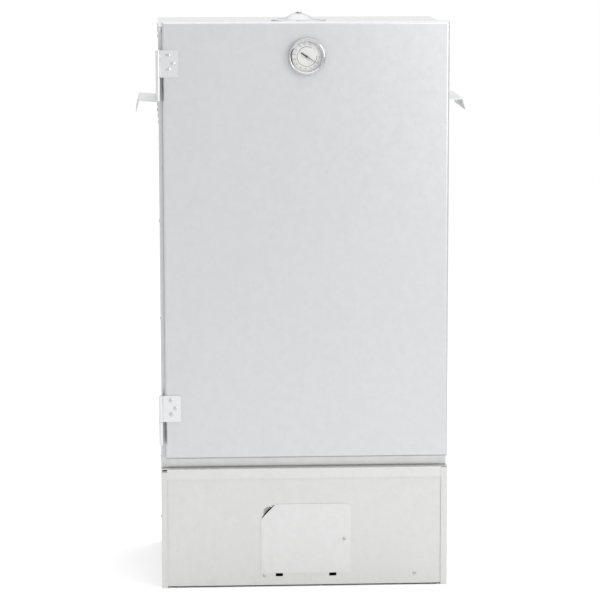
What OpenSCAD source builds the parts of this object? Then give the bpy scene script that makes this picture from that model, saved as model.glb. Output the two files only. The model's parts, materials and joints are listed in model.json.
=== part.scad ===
// Sheet-steel cabinet smoker: a heated base box with a smoking cabinet and a full-height door above it.
// +X is to the right, +Y to the back and +Z up. The origin is on the ground under the middle of the whole.

/* [Cabinet] */
// Width of the smoking cabinet
body_w = 410; // [400:1:420]
// Depth of the smoking cabinet
body_d = 275; // [270:1:290]
// Height of the roof above the ground
roof_z = 807; // [800:1:815]
// Thickness of the galvanised sheet
sheet = 1; // [0.8:0.1:1]
// Width of the folded flange down each side of the front opening
front_flange = 11.6; // [10:0.1:13]
// Height of the folded sill and header across the front opening
sill_h = 20; // [18:1:22]

/* [Base] */
// Width of the base box
base_w = 412; // [412:1:424]
// Height of the base box
base_h = 175; // [172:1:178]
// How far the base stands in front of the cabinet
base_step = 14; // [13:0.5:16]
// Height of the rail across the top of the base front
rail_h = 15; // [13:1:17]
// Width of the left corner post
post_left = 8.2; // [7:0.1:10]
// Width of the right corner post
post_right = 9.5; // [7:0.1:10]

/* [Door] */
// Width of the door
door_w = 405; // [400:1:406]
// Height of the door's lower edge
door_z = 190; // [188:1:194]
// Height of the door's upper edge
door_top = 814; // [810:1:818]
// Depth of the folded door
door_t = 13; // [12:0.5:15]
// Outside radius of the door's folds
fold_r = 4.5; // [2:0.5:5]

/* [Hinges] */
// Height of a closed hinge
hinge_h = 71; // [66:1:76]
// Radius of the hinge barrel
barrel_r = 3.1; // [3:0.1:3.6]
// Radius of the hinge pin
pin_r = 1.75; // [1.5:0.05:2]
// Heights of the joint between the two halves of each hinge
hinge_joints = [244.6, 736.3];

/* [Thermometer] */
// Radius of the bezel
bezel_r = 26; // [24:0.5:28]
// Height of the dial's centre
dial_z = 765; // [755:1:775]
// Length of the probe behind the door
probe_l = 66; // [50:1:70]

/* [Hatch] */
// Width of the hatch flap
hatch_w = 130; // [126:1:134]
// Height of the hatch flap
hatch_h = 102; // [98:1:106]
// Height of the flap's lower edge
hatch_z = 20; // [19:0.5:21]

/* [Handles and vent] */
// Length of a carrying handle
handle_l = 142; // [130:1:150]
// How far a handle stands out from the wall
handle_reach = 33; // [31:1:36]
// Height of a handle's shelf
handle_z = 697; // [680:1:710]
// How deep the outer lip of a handle hangs
handle_lip = 14.5; // [10:0.5:18]
// Radius of the rotary vent
vent_r = 40; // [38:1:42]

/* [Inside] */
// Radius of a hanging bar
bar_r = 4; // [3.5:0.5:4.5]
// Height of the hanging bars
bar_z = 774; // [765:1:776]
// Width of the chip tray
tray_w = 100; // [90:1:104]

/* [Hidden] */
$fn = 48;
cut = 1;
snug = 0.05;
galvanised = "gainsboro";
zinc_edge = "lightgray";
plated = "silver";

// Places along the depth
bezel_depth = 10;
inlet_flange_t = 3.5;
front_proud = base_step + bezel_depth;
body_y = (front_proud - inlet_flange_t - body_d) / 2;
back_y = body_y + body_d;
base_y = body_y - base_step;
panel_gap = 0.8;
panel_y = base_y + sheet + panel_gap;
door_y = body_y - base_step;

// Places along the width
body_x = body_w / 2;
base_x = base_w / 2;
door_right = body_x + 0.4;
door_left = door_right - door_w;
dial_x = 3.5;

// Base
bend_r = 2;
rail_r = 3;
panel_foot = 2.5;
post_gap = 3.5;
heat_w = 300;
heat_d = 150;
heat_y = back_y - body_d / 2;
floor_z = 9.5;
floor_flange = 16;
foot_flange = 16;
inner_flange = 12;

// Hatch
hatch_x = 1.7;
hatch_left = hatch_x - hatch_w / 2;
hatch_right = hatch_x + hatch_w / 2;
hatch_top = hatch_z + hatch_h;
chamfer_x = 21;
chamfer_z = 22;
hatch_corner_r = 5;
slot_w = 10.4;
slot_foot = 15.2;
slot_head = 24.5;
slot_xs = [hatch_x - 38.7, hatch_x + 38.7];
tab_w = 9;
tab_reach = 2.5;
tab_hook = 2.2;
opening_low = [hatch_left + 10, hatch_z + 8];
opening_high = [hatch_right - 4.5, hatch_top - 10];
opening_chamfer = 20;
scoop_r = 14;
scoop_depth = 3.5;
scoop_at = [hatch_left + 12.3, hatch_top - 12.8];
finger_gap = 1.2;
clip_at = [hatch_right - 10, hatch_z + 50];
clip_t = 0.8;
rivet_r = 1.6;
rivet_head_r = 2.6;
rivet_head_h = 1;
base_rivet_at = [[hatch_left + 4.5, 16.3], [158.7, 17.6]];
corner_rivet_zs = [40, 135];
rivet_edge = 7;

// Heater
element_r = 4.25;
element_z = 26;
leg_gap = 30;
leg_xs = [for (i = [-1.5, -0.5, 0.5, 1.5]) hatch_x + i * leg_gap];
element_front = base_y + 52;
element_turn = base_y + 160;
box_w = 130;
box_d = 48;
box_low = 14;
box_high = 74;
box_y = back_y - sheet - box_d;
tray_z = 46;
tray_h = 30;
tray_d = 150;
tray_y = base_y + 16;
inlet_z = 54;
inlet_w = 27;
inlet_h = 19.4;
inlet_depth = 20;
pin_gap = 14;
inlet_screw_xs = [hatch_x - 20, hatch_x + 20];
sunk_head_r = 2.7;

// Cabinet
body_z = base_h + 0.8;
roof_under = roof_z - sheet;
header_z = roof_under - sill_h;
bolt_r = 2.5;
bolt_head_r = 4.6;
bolt_at = [for (x = [-170, 170]) for (y = [body_y + 35, back_y - 35]) [x, y]];
rail_leg = 12;
rail_y = body_y + 22;
rail_d = body_d - 44;
drip_z = 228;
lower_grate_z = 390;
upper_grate_z = 560;
level_zs = [drip_z, lower_grate_z, upper_grate_z];
grate_w = body_w - 14;
grate_d = body_d - 55;
grate_y = body_y + 28;
wire_r = 2.5;
cross_r = 1.5;
bar_ys = [body_y + 100, body_y + 190];
bar_l = body_w - 2 * sheet - 4;
bracket_z = bar_z - bar_r;
hook_wire_r = 2;
hook_gap = 0.6;
hook_turn_r = bar_r + hook_gap + hook_wire_r;
hook_drop = 72;
hook_lean = -10.4;
magnet_zs = [330, 660];

// Door
hinge_x = -body_x - 0.4;
hinge_y = door_y - 1.2;
leaf_t = 1.5;
leaf_reach = 28.4;
half_gap = 0.3;
screw_r = 1.6;
screw_head_r = 3.4;
screw_head_h = 1.4;
leaf_screws = [[hinge_x + 14, 31.4], [hinge_x + 20.4, 19.7], [hinge_x + 14.4, 11.2]];
neck_r = 5;
case_r = 24.4;
case_back_gap = 2;
case_front = door_y - bezel_depth + case_back_gap;
probe_r = 3;
needle_y = door_y - 5.4;

// Handles
handle_t = 1.4;
handle_lean = 4.2;

// Rotary vent
vent_y = heat_y;
dome_r = 22;
dome_h = 9.5;
dome_sphere_r = (dome_r * dome_r + dome_h * dome_h) / (2 * dome_h);
brim_z = roof_z + 3;
vent_hole_r = 5.5;
vent_hole_ring = 30.5;
vent_turn = 10;
pivot_r = 2.5;

// A cylinder along X, from x to x + l
module rod_x(x, y, z, r, l) { translate([x, y, z]) rotate([0, 90, 0]) cylinder(r = r, h = l); }

// A cylinder along Y, from y to y + l
module rod_y(x, y, z, r, l) { translate([x, y, z]) rotate([-90, 0, 0]) cylinder(r = r, h = l); }

// A cylinder along Z, from z to z + l
module rod_z(x, y, z, r, l) { translate([x, y, z]) cylinder(r = r, h = l); }

// A box from its lowest to its highest corner
module block(low, high) { translate(low) cube(high - low); }

// A rectangle with its corner at the origin rounded
module bend_2d(w, h, r) {
    translate([r, 0]) square([w - r, h]);
    translate([0, r]) square([w, h - r]);
    translate([r, r]) circle(r);
}

// A folded angle: one leg along X, one along Y, with the bend at the origin
module angle_2d(a, b, t, r) {
    difference() {
        bend_2d(a, b, r);
        translate([t, t]) bend_2d(a, b, r - t);
    }
}

// A folded channel, open towards +Y
module channel_2d(w, h, t, r) {
    difference() {
        bend_2d(w, h, r);
        translate([w, 0]) mirror([1, 0]) square([r, r]);
        translate([t, t]) bend_2d(w - 2 * t, h, r - t);
    }
    difference() {
        translate([w - r, r]) circle(r);
        translate([w - r, r]) circle(r - t);
        translate([w - 2 * r, r]) square([2 * r, r]);
        translate([w - 2 * r, 0]) square([r, 2 * r]);
    }
}

// A rivet along -Y: its head in front of y, its shank and closed end behind
module rivet_y(x, y, z, grip) {
    rod_y(x, y, z, rivet_r, grip);
    rod_y(x, y - rivet_head_h, z, rivet_head_r, rivet_head_h);
    rod_y(x, y + grip, z, rivet_head_r - 0.6, rivet_head_h);
}

// A rivet through a side wall: side is -1 on the left and 1 on the right
module rivet_x(side, x, y, z, grip) {
    mirror([side < 0 ? 1 : 0, 0, 0]) {
        rod_x(x - grip, y, z, rivet_r, grip);
        rod_x(x, y, z, rivet_head_r, rivet_head_h);
        rod_x(x - grip - rivet_head_h, y, z, rivet_head_r - 0.6, rivet_head_h);
    }
}

// ---- Base box ----

// One base side wall with its corner post, drawn on the left
module base_side(post, gap) {
    difference() {
        union() {
            translate([-base_x, base_y, 0]) linear_extrude(base_h - sheet)
                angle_2d(post, body_d + base_step, sheet, bend_r);
            block([-base_x + sheet, base_y + 2 * sheet, 0],
                [-base_x + foot_flange, back_y - 2 * sheet, sheet]);
        }
        block([-base_x + sheet + 0.6, base_y - cut, base_h - sheet - gap],
            [-base_x + post + cut, base_y + 2.5, base_h]);
        base_wall_holes();
    }
}

// Rivet holes through the base's side walls and the back panel's flanges
module base_wall_holes() {
    for (z = corner_rivet_zs) for (x = [-base_x - cut, base_x - 2 * sheet - cut])
        rod_x(x, back_y - rivet_edge, z, rivet_r, 2 * sheet + 2 * cut);
}

module base_side_left() { color(galvanised) base_side(post_left, post_gap); }

module base_side_right() { color(galvanised) mirror([1, 0, 0]) base_side(post_right, 0); }

module base_back_panel() {
    half = base_x - sheet;
    color(galvanised) difference() {
        union() {
            translate([half, back_y, 2 * sheet]) rotate([0, 0, 180]) linear_extrude(base_h - 3 * sheet)
                channel_2d(2 * half, inner_flange, sheet, bend_r);
            block([-half + foot_flange, back_y - foot_flange, 0], [half - foot_flange, back_y, sheet]);
            block([-half + foot_flange, back_y - sheet, 0], [half - foot_flange, back_y, 3 * sheet]);
        }
        block([hatch_x - inlet_w / 2, back_y - 2 * sheet, inlet_z - inlet_h / 2],
            [hatch_x + inlet_w / 2, back_y + cut, inlet_z + inlet_h / 2]);
        for (x = inlet_screw_xs) rod_y(x, back_y - 2 * sheet, inlet_z, screw_r, 3 * sheet);
        base_wall_holes();
    }
}

module base_front_panel() {
    half = base_x - bend_r;
    color(galvanised) difference() {
        union() {
            difference() {
                block([-half, panel_y, panel_foot], [half, panel_y + sheet, base_h - rail_r]);
                hatch_scoop(scoop_r);
            }
            intersection() {
                difference() {
                    hatch_scoop(scoop_r + sheet);
                    hatch_scoop(scoop_r);
                }
                block([hatch_left - 20, panel_y, hatch_top - 40],
                    [hatch_left + 40, panel_y + 10, hatch_top + 20]);
            }
        }
        hatch_opening();
        for (x = slot_xs) block([x - slot_w / 2, panel_y - cut, slot_foot],
            [x + slot_w / 2, panel_y + sheet + cut, slot_head]);
        for (p = base_rivet_at) rod_y(p[0], panel_y - cut, p[1], rivet_r, sheet + 2 * cut);
    }
}

// The ball that presses the finger scoop beside the flap's cut corner
module hatch_scoop(r) {
    translate([scoop_at[0], panel_y + scoop_depth - scoop_r, scoop_at[1]]) sphere(r = r);
}

// The opening behind the flap, with a finger slit that follows the flap's cut corner
module hatch_opening() {
    depth = scoop_depth + sheet + 2 * cut;
    translate([0, panel_y - cut + depth, 0]) rotate([90, 0, 0]) linear_extrude(depth)
        polygon([opening_low, [opening_high[0], opening_low[1]], opening_high,
            [opening_low[0] + opening_chamfer, opening_high[1]], beside_cut(0.9), beside_cut(0.1),
            [opening_low[0], opening_high[1] - opening_chamfer]]);
}

// A point at share t along the flap's cut corner, a finger gap outside it
function beside_cut(t) = let (length = norm([chamfer_x, chamfer_z])) [
    hatch_left + chamfer_x * t - finger_gap * chamfer_z / length,
    hatch_top - chamfer_z * (1 - t) + finger_gap * chamfer_x / length];

module base_top_frame() {
    rail_left = -base_x + post_left + snug;
    rail_right = base_x - post_right - snug;
    color(galvanised) difference() {
        union() {
            translate([rail_left, base_y, base_h]) rotate([0, 90, 0])
                linear_extrude(rail_right - rail_left) rail_2d();
            block([-base_x, base_y + 2.6, base_h - sheet], [base_x, back_y, base_h]);
            for (s = [0, 1]) mirror([s, 0, 0])
                block([base_x - 2 * sheet, body_y + 20, base_h - inner_flange],
                [base_x - sheet, back_y - 20, base_h - sheet]);
        }
        heat_opening(base_h);
        frame_bolt_holes();
    }
}

// Section of the front rail: the leg hangs down and the top runs back, rounded where they meet
module rail_2d() { angle_2d(rail_h, 20, sheet, rail_r); }

// The way for heat and smoke from the base into the cabinet
module heat_opening(z) {
    block([-heat_w / 2, heat_y - heat_d / 2, z - 2 * sheet],
        [heat_w / 2, heat_y + heat_d / 2, z + 2 * sheet]);
}

module frame_bolt_holes() { for (p = bolt_at) rod_z(p[0], p[1], base_h - 3 * sheet, bolt_r, 6 * sheet); }

module base_floor() {
    half = base_x - sheet;
    front = panel_y + sheet;
    top = floor_z + floor_flange;
    color(galvanised) difference() {
        union() {
            block([-half, front, floor_z], [half, back_y - 14, floor_z + sheet]);
            block([-half + 6, front, floor_z], [half - 6, front + sheet, top]);
            for (s = [0, 1]) mirror([s, 0, 0])
                block([half - sheet, front + 6, floor_z], [half, back_y - 14, top]);
        }
        for (x = slot_xs) block([x - slot_w, front - cut, slot_foot - 3],
            [x + slot_w, front + 2 * sheet, top + cut]);
        for (p = base_rivet_at) rod_y(p[0], front - cut, p[1], rivet_r, sheet + 2 * cut);
    }
}

// Rivets of the front panel and of the base's corners
module base_rivets() {
    color(zinc_edge) {
        for (p = base_rivet_at) rivet_y(p[0], panel_y, p[1], 2 * sheet);
        for (s = [-1, 1]) for (z = corner_rivet_zs)
            rivet_x(s, base_x, back_y - rivet_edge, z, 2 * sheet);
    }
}

// ---- Hatch ----

module hatch_flap() {
    color(galvanised) difference() {
        union() {
            translate([0, panel_y, 0]) rotate([90, 0, 0]) linear_extrude(sheet) hatch_outline();
            for (x = slot_xs) {
                block([x - tab_w / 2, panel_y, hatch_z],
                    [x + tab_w / 2, panel_y + tab_reach, hatch_z + sheet]);
                block([x - tab_w / 2, panel_y + tab_reach - sheet, hatch_z],
                    [x + tab_w / 2, panel_y + tab_reach, hatch_z + sheet + tab_hook]);
            }
        }
        rod_y(clip_at[0], panel_y - sheet - cut, clip_at[1], rivet_r, sheet + 2 * cut);
    }
}

// The flap's outline: one corner cut off for a finger, one rounded
module hatch_outline() {
    r = hatch_corner_r;
    polygon([[hatch_left, hatch_z], [hatch_right, hatch_z], [hatch_right, hatch_top - r],
        [hatch_right - r, hatch_top - r], [hatch_right - r, hatch_top], [hatch_left + chamfer_x, hatch_top],
        [hatch_left, hatch_top - chamfer_z]]);
    translate([hatch_right - r, hatch_top - r]) circle(r);
}

// Spring strip behind the flap: its nose snaps past the edge of the opening
module hatch_clip() {
    edge = opening_high[0] - 0.15;
    nose_r = 1.6;
    color(plated) difference() {
        union() {
            block([edge - 18, panel_y, clip_at[1] - 6], [edge, panel_y + clip_t, clip_at[1] + 6]);
            block([edge - clip_t, panel_y, clip_at[1] - 6], [edge, panel_y + 5, clip_at[1] + 6]);
            rod_z(edge - nose_r, panel_y + 5, clip_at[1] - 6, nose_r, 12);
        }
        rod_y(clip_at[0], panel_y - cut, clip_at[1], rivet_r, clip_t + 2 * cut);
    }
}

module hatch_rivet() { color(zinc_edge) rivet_y(clip_at[0], panel_y - sheet, clip_at[1], sheet + clip_t); }

// ---- Heater and chip tray ----

module tray_runners() {
    web = tray_w / 2 + 5;
    color(galvanised) translate([hatch_x, 0, 0]) for (s = [0, 1]) mirror([s, 0, 0]) {
        block([web, tray_y + 10, floor_z + sheet], [web + sheet, tray_y + tray_d, tray_z]);
        block([web - 9, tray_y + 10, tray_z - sheet], [web + sheet, tray_y + tray_d, tray_z]);
        block([web, tray_y + 10, floor_z + sheet], [web + 12, tray_y + tray_d, floor_z + 2 * sheet]);
    }
}

module chip_tray() {
    half = tray_w / 2;
    color("dimgray") translate([hatch_x, tray_y, tray_z]) {
        difference() {
            block([-half, 0, 0], [half, tray_d, tray_h]);
            block([-half + sheet, sheet, sheet], [half - sheet, tray_d - sheet, tray_h + cut]);
        }
        difference() {
            block([-18, -6, tray_h - sheet], [18, 0, tray_h]);
            rod_z(0, -1, tray_h - 2, 2, 4);
        }
    }
}

// Tube bent into four legs; both ends go back into the terminal box
module heating_element() {
    color("darkslategray") {
        for (i = [0, 3]) rod_y(leg_xs[i], element_front, element_z, element_r, box_y + 12 - element_front);
        for (i = [1, 2]) rod_y(leg_xs[i], element_front, element_z, element_r, element_turn - element_front);
        for (i = [0.5, 2.5]) translate([leg_xs[0] + i * leg_gap, element_front, element_z])
            rotate([0, 0, 180]) half_turn();
        translate([leg_xs[0] + 1.5 * leg_gap, element_turn, element_z]) half_turn();
        for (i = [0, 3]) rod_y(leg_xs[i], box_y + 12, element_z, 1.5, 10);
    }
}

module half_turn() {
    rotate_extrude(angle = 180) translate([leg_gap / 2, 0]) circle(element_r);
}

// Cross strips that carry the element above the base floor
module element_support() {
    color(galvanised) for (y = [element_front + 12, element_turn - 12]) difference() {
        block([leg_xs[0] - 6.2, y, floor_z + sheet], [leg_xs[3] + 6.2, y + 1.5, element_z + element_r + 3]);
        for (x = leg_xs) rod_y(x, y - cut, element_z, element_r + snug, 4);
    }
}

// Sheet box that keeps the smoke and heat away from the terminals
module terminal_box() {
    left = hatch_x - box_w / 2;
    right = hatch_x + box_w / 2;
    back = back_y - sheet;
    color(galvanised) difference() {
        block([left, box_y, box_low], [right, back, box_high]);
        block([left + sheet, box_y + sheet, box_low + sheet],
            [right - sheet, back + cut, box_high - sheet]);
        for (i = [0, 3]) rod_y(leg_xs[i], box_y - cut, element_z, element_r + snug, 4);
    }
}

// Cut-out that opens the circuit if the box overheats
module safety_thermostat() {
    x = hatch_x + 40;
    y = box_y + sheet;
    color("ivory") {
        rod_y(x, y, 56, 8, 7);
        rod_y(x, y + 7, 56, 5.5, 5);
    }
}

// Insulated leads from the inlet to the element's two ends
module element_leads() {
    lead_r = 1.6;
    end_y = box_y + 24;
    pin_z = inlet_z - 2;
    pin_edge = pin_gap / 2 + 1;
    color("firebrick") for (s = [0, 3]) {
        x = leg_xs[s];
        rod_y(x, end_y - 2, element_z, 2.4, 6);
        rod_z(x, end_y + 2, element_z, lead_r, pin_z - element_z);
        translate([x, end_y + 2, pin_z]) sphere(r = lead_r);
        rod_x(x < hatch_x ? x : hatch_x + pin_edge, end_y + 2, pin_z, lead_r, abs(x - hatch_x) - pin_edge);
    }
}

// Recessed appliance inlet with a flange on the back panel
module power_inlet() {
    inside = back_y - sheet - inlet_depth;
    color([0.09, 0.09, 0.1]) difference() {
        union() {
            block([hatch_x - inlet_w / 2, inside, inlet_z - inlet_h / 2],
                [hatch_x + inlet_w / 2, back_y, inlet_z + inlet_h / 2]);
            block([hatch_x - 25, back_y, inlet_z - 11.5],
                [hatch_x + 25, back_y + inlet_flange_t, inlet_z + 11.5]);
        }
        translate([hatch_x, back_y + inlet_flange_t + cut, inlet_z]) rotate([90, 0, 0])
            linear_extrude(18 + cut) inlet_mouth();
        for (x = inlet_screw_xs) {
            rod_y(x, back_y - cut, inlet_z, screw_r, inlet_flange_t + 2 * cut);
            rod_y(x, back_y + inlet_flange_t - 1, inlet_z, sunk_head_r, 2);
        }
        for (p = pin_places) block([hatch_x + p[0] - 1, inside - cut, inlet_z + p[1] - 2],
            [hatch_x + p[0] + 1, back_y, inlet_z + p[1] + 2]);
    }
}

// Mouth of the inlet: a rectangle with two corners cut, so the connector goes in one way round
module inlet_mouth() {
    polygon([[-12.1, -7.9], [12.1, -7.9], [12.1, 2.6], [6.8, 7.9], [-6.8, 7.9], [-12.1, 2.6]]);
}

pin_places = [[-pin_gap / 2, -2], [pin_gap / 2, -2], [0, 2]];

module inlet_pins() {
    inside = back_y - sheet - inlet_depth;
    color("goldenrod") for (p = pin_places) block([hatch_x + p[0] - 1, inside - 5, inlet_z + p[1] - 2],
        [hatch_x + p[0] + 1, back_y - 2, inlet_z + p[1] + 2]);
}

module inlet_screws() {
    color(plated) for (x = inlet_screw_xs) {
        rod_y(x, back_y - 6, inlet_z, screw_r, 6 + inlet_flange_t);
        rod_y(x, back_y + inlet_flange_t - 1, inlet_z, sunk_head_r, 1);
    }
}

// Bolts and nuts that join the cabinet floor to the base
module frame_bolts() {
    color(plated) for (p = bolt_at) {
        rod_z(p[0], p[1], base_h - sheet - 8, bolt_r, 8 + 2 * sheet);
        rod_z(p[0], p[1], base_h + sheet, bolt_head_r, 2.4);
        translate([p[0], p[1], base_h - sheet - 4]) difference() {
            cylinder(r = bolt_head_r, h = 4, $fn = 6);
            rod_z(0, 0, -cut, bolt_r, 6);
        }
    }
}

// ---- Cabinet ----

// One cabinet side wall with its front flange, drawn on the left
module cabinet_side() {
    difference() {
        translate([-body_x, body_y, body_z]) linear_extrude(roof_under - body_z)
            angle_2d(front_flange, body_d, sheet, bend_r);
        side_wall_holes();
    }
}

// Rivet holes in the left wall, the back's flanges and the roof's flanges
module side_wall_holes() {
    for (z = wall_rivet_zs) rod_x(-body_x - cut, back_y - rivet_edge, z, rivet_r, 2 * sheet + 2 * cut);
    for (y = roof_rivet_ys)
        rod_x(-body_x - cut, y, roof_under - rivet_edge, rivet_r, 2 * sheet + 2 * cut);
    for (y = handle_rivet_ys) rod_x(-body_x - cut, y, handle_rivet_z, rivet_r, sheet + 2 * cut);
    rod_y(-flange_rivet_x, body_y - cut, flange_rivet_z, rivet_r, 2 * sheet + cut);
}

flange_rivet_x = body_x - 3;
flange_rivet_z = 802.5;
wall_rivet_zs = [200, 350, 500, 650, 780];
roof_rivet_ys = [body_y + 50, body_y + body_d / 2, back_y - 50];
handle_rivet_ys = [heat_y - handle_l / 2 + 20, heat_y + handle_l / 2 - 20];
handle_rivet_z = handle_z - 14;

module cabinet_side_left() {
    color(galvanised) difference() {
        cabinet_side();
        for (j = hinge_joints) for (p = leaf_screws)
            rod_x(-body_x - cut, leaf_screw_y(p), j - p[1], screw_r, sheet + 2 * cut);
    }
}

module cabinet_side_right() { color(galvanised) mirror([1, 0, 0]) cabinet_side(); }

// Depth of a cabinet leaf's screw: the door leaf's pattern, turned onto the side wall
function leaf_screw_y(p) = body_y + p[0] - hinge_x - 7.6;

module cabinet_back() {
    half = body_x - sheet;
    color(galvanised) difference() {
        translate([half, back_y, base_h + sheet]) rotate([0, 0, 180])
            linear_extrude(roof_under - base_h - sheet) channel_2d(2 * half, inner_flange, sheet, bend_r);
        side_wall_holes();
        mirror([1, 0, 0]) side_wall_holes();
    }
}

module cabinet_roof() {
    half = body_x - sheet;
    color(galvanised) difference() {
        union() {
            block([-body_x, body_y, roof_under], [body_x, back_y, roof_z]);
            for (s = [0, 1]) mirror([s, 0, 0]) block([half - sheet, body_y + 14, roof_under - 14],
                [half, back_y - 14, roof_under]);
            block([-body_x + front_flange + snug, body_y, header_z],
                [body_x - front_flange - snug, body_y + sheet, roof_under]);
        }
        side_wall_holes();
        mirror([1, 0, 0]) side_wall_holes();
        translate([0, vent_y, 0]) {
            rod_z(0, 0, roof_under - cut, pivot_r, 3 * sheet);
            for (i = [0:3]) rotate([0, 0, 90 * i + vent_turn]) rod_z(vent_hole_ring, 0, roof_under - cut,
                vent_hole_r, 3 * sheet);
        }
    }
}

module cabinet_floor() {
    lip = body_x - front_flange - snug;
    half = body_x - sheet;
    color(galvanised) difference() {
        union() {
            translate([-lip, body_y, base_h]) rotate([90, 0, 90]) linear_extrude(2 * lip)
                angle_2d(30, sill_h, sheet, bend_r);
            block([-half, body_y + bend_r, base_h], [half, back_y, base_h + sheet]);
            for (s = [0, 1]) mirror([s, 0, 0]) block([half - sheet, body_y + 14, base_h + sheet],
                [half, back_y - 14, base_h + 14]);
        }
        heat_opening(base_h);
        frame_bolt_holes();
    }
}

// Rivets of the walls, back and roof
module cabinet_rivets() {
    color(zinc_edge) for (s = [-1, 1]) {
        for (z = wall_rivet_zs) rivet_x(s, body_x, back_y - rivet_edge, z, 2 * sheet);
        for (y = roof_rivet_ys) rivet_x(s, body_x, y, roof_under - rivet_edge, 2 * sheet);
        rod_y(s * flange_rivet_x, body_y - rivet_head_h, flange_rivet_z, rivet_head_r - 0.3, rivet_head_h);
        rod_y(s * flange_rivet_x, body_y, flange_rivet_z, rivet_r, sheet);
    }
}

// A bent-sheet carrying handle, drawn on the right
module handle() {
    t = handle_t;
    out = body_x + handle_reach;
    low = handle_z - 24;
    ridge = out - handle_lean;
    color(zinc_edge) difference() {
        translate([0, heat_y + handle_l / 2, 0]) rotate([90, 0, 0]) linear_extrude(handle_l)
            polygon([[body_x, low], [body_x + t, low], [body_x + t, handle_z - t],
                [ridge - t, handle_z + 2 - t], [out - t, handle_z - handle_lip],
                    [out, handle_z - handle_lip],
                [ridge, handle_z + 2], [ridge - 0.8, handle_z + 2.6], [body_x, handle_z]]);
        for (y = handle_rivet_ys) rod_x(body_x - cut, y, handle_rivet_z, rivet_r, 5);
    }
}

module handle_right() { handle(); }

module handle_left() { mirror([1, 0, 0]) handle(); }

module handle_rivets() {
    color(plated) for (s = [-1, 1]) for (y = handle_rivet_ys)
        rivet_x(s, body_x + handle_t, y, handle_rivet_z, handle_t + sheet);
}

// Turning vent: a domed disc with four holes that meet the roof's four holes
module vent_disc() {
    color(galvanised) translate([0, vent_y, 0]) difference() {
        union() {
            rod_z(0, 0, brim_z - sheet, vent_r, sheet);
            difference() {
                rod_z(0, 0, roof_z + 0.3, vent_r, brim_z - roof_z - 0.3);
                rod_z(0, 0, roof_z, vent_r - sheet, brim_z - roof_z + cut);
            }
            intersection() {
                translate([0, 0, brim_z + dome_h - dome_sphere_r]) sphere(r = dome_sphere_r);
                rod_z(0, 0, brim_z - sheet, dome_r + 2, dome_h + 2);
            }
            rotate([0, 0, vent_turn]) block([-12, -vent_r - 8, brim_z - sheet], [12, -vent_r + 4, brim_z]);
        }
        intersection() {
            translate([0, 0, brim_z + dome_h - dome_sphere_r]) sphere(r = dome_sphere_r - sheet);
            rod_z(0, 0, brim_z - 2 * sheet, dome_r + 2, dome_h + 2);
        }
        rod_z(0, 0, brim_z, pivot_r + snug, 2 * dome_h);
        for (i = [0:3]) rotate([0, 0, 90 * i + vent_turn + 45])
            rod_z(vent_hole_ring, 0, roof_z, vent_hole_r, 6);
    }
}

module vent_pivot() {
    top = brim_z + dome_h;
    color(plated) {
        rod_z(0, vent_y, roof_under - 1.5, pivot_r, top + 0.2 - roof_under + 1.5);
        rod_z(0, vent_y, top + 0.2, 5, 1.2);
        rod_z(0, vent_y, roof_under - 1.5, 4.5, 1.5);
        rod_z(0, vent_y, roof_z, 4.5, 1.5);
    }
}

// Angle rails on one wall, drawn on the right
module rails() {
    wall = body_x - sheet;
    color(zinc_edge) for (z = level_zs) {
        block([wall - rail_leg, rail_y, z - sheet], [wall, rail_y + rail_d, z]);
        block([wall - sheet, rail_y, z - sheet], [wall, rail_y + rail_d, z + rail_leg - sheet]);
    }
}

module rails_right() { rails(); }

module rails_left() { mirror([1, 0, 0]) rails(); }

// Open saddles that the hanging bars drop into
module bar_brackets() {
    wall = body_x - sheet;
    color(zinc_edge) for (s = [0, 1]) mirror([s, 0, 0]) for (y = bar_ys) difference() {
        block([wall - 10, y - 9, bracket_z - 8], [wall, y + 9, bracket_z + 10]);
        block([wall - 10 - cut, y - 9 + 1.5, bracket_z - 8 - cut],
            [wall - 1.5, y + 9 - 1.5, bracket_z - 1.5]);
        rod_x(wall - 10 - cut, y, bar_z, bar_r + 0.1, 20);
        block([wall - 10 - cut, y - bar_r - 0.1, bar_z], [wall + cut, y + bar_r + 0.1, bar_z + 10]);
    }
}

// Magnets in the right front flange that hold the door shut
module door_magnets() {
    x = body_x - front_flange;
    color("dimgray") for (z = magnet_zs) {
        block([x + 1, body_y + sheet, z - 20], [x + front_flange - 2, body_y + sheet + 8, z + 20]);
    }
}

module drip_tray() {
    half = grate_w / 2;
    color(plated) difference() {
        block([-half, grate_y, drip_z], [half, grate_y + grate_d, drip_z + 18]);
        block([-half + sheet, grate_y + sheet, drip_z + sheet],
            [half - sheet, grate_y + grate_d - sheet, drip_z + 20]);
    }
}

// A wire grate: a rectangular frame, two bearers across and wires from front to back
module grate(z) {
    half = grate_w / 2 - wire_r;
    far = grate_y + grate_d - wire_r;
    near = grate_y + wire_r;
    count = 18;
    pitch = 2 * half / (count + 1);
    color(plated) translate([0, 0, z + wire_r]) {
        for (x = [-half, half]) rod_y(x, near, 0, wire_r, far - near);
        for (y = [near, far]) rod_x(-half, y, 0, wire_r, 2 * half);
        for (x = [-half, half]) for (y = [near, far]) translate([x, y, 0]) sphere(r = wire_r);
        for (i = [1:count]) rod_y(-half + i * pitch, near, 0.8, cross_r, far - near);
    }
}

module grate_lower() { grate(lower_grate_z); }

module grate_upper() { grate(upper_grate_z); }

module hook_bar(y) { color(plated) rod_x(-bar_l / 2, y, bar_z, bar_r, bar_l); }

module hook_bar_front() { hook_bar(bar_ys[0]); }

module hook_bar_rear() { hook_bar(bar_ys[1]); }

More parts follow.
